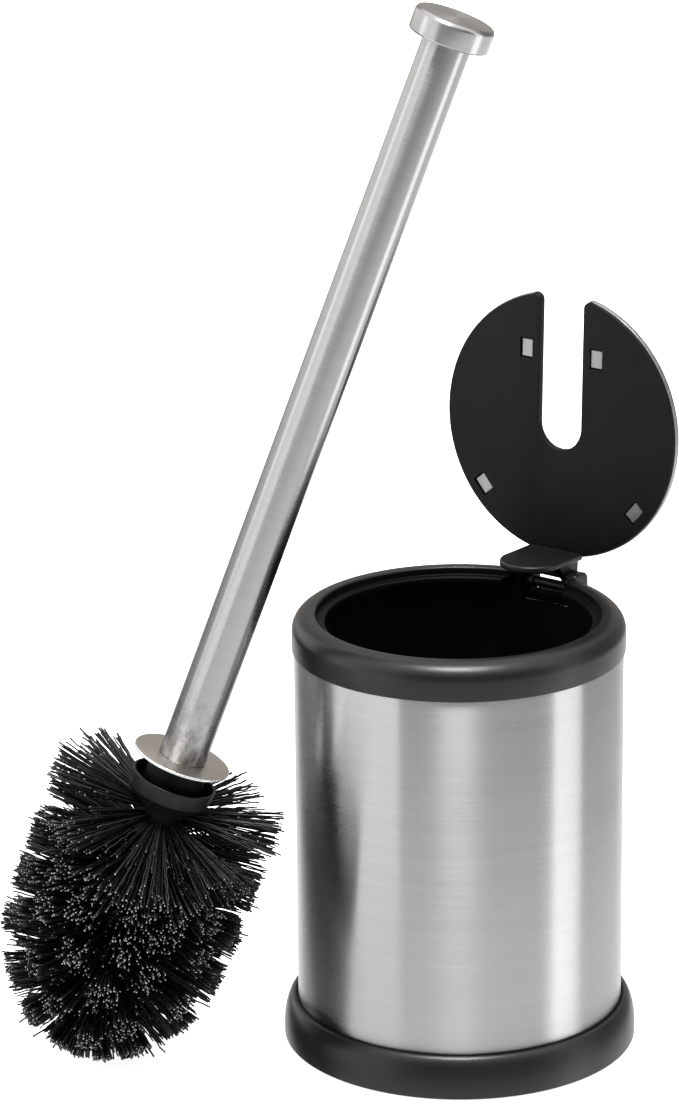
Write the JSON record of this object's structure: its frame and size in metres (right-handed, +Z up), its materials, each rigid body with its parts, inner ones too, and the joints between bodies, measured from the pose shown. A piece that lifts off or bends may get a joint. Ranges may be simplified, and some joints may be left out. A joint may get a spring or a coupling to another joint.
{
  "type": "toilet brush holder",
  "caption": "Round steel-skinned toilet brush holder with flared black foot, rounded rim and lever-closed slotted hinged lid, shown open beside its leaning tube-handled brush.",
  "frame": {"origin": "centre of the non-slip pad's underside, on the floor under the holder's axis", "axes": "+Z up along the holder's axis, +Y towards the lid's hinge at the back, +X to the right seen from the front"},
  "size_m": [0.1789, 0.1889, 0.3594],
  "materials": {
    "satin_black_plastic": "satin, fine moulded texture",
    "pad_foam": "matt foam rubber",
    "shell_steel": "brushed round the tube",
    "liner_plastic": "satin black",
    "pin_steel": "bright",
    "lid_plastic": "matt black, fine moulded texture",
    "lid_steel": "brushed",
    "handle_steel": "brushed, slightly soiled at the lower end",
    "inner_plastic": "plain",
    "disc_steel": "bright rolled sheet",
    "head_plastic": "black, slightly glossy",
    "bristle": "black filament"
  },
  "bodies": {
    "holder": {"base_foot": "satin_black_plastic", "nonslip_pad": "pad_foam", "outer_shell": "shell_steel", "liner_bucket": "liner_plastic", "rim_collar": "satin_black_plastic", "hinge_pin": "pin_steel"},
    "lid": {"lid_plate": "lid_plastic", "lid_skin": "lid_steel", "lid_lever": "lid_plastic"},
    "brush": {"handle_tube": "handle_steel", "handle_cap": "handle_steel", "cap_plug": "inner_plastic", "threaded_insert": "pin_steel", "head_stud": "pin_steel", "splash_disc": "disc_steel", "head_core": "head_plastic", "bristle_row_1": "bristle", "bristle_row_2": "bristle", "bristle_row_3": "bristle", "bristle_row_4": "bristle", "bristle_row_5": "bristle", "bristle_row_6": "bristle", "bristle_row_7": "bristle", "bristle_row_8": "bristle", "bristle_row_9": "bristle", "bristle_row_10": "bristle", "bristle_tip": "bristle"}
  },
  "joints": [
    {"name": "lid_hinge", "type": "hinge", "parent": "holder", "child": "lid", "pos_m": [0, 0.0554, 0.145], "axis": [1, 0, 0], "range_deg": [0, 91.7]},
    {"name": "brush_lift", "type": "slide", "parent": "holder", "child": "brush", "axis": [0, 0, 1], "range_m": [0, 0.25]}
  ]
}
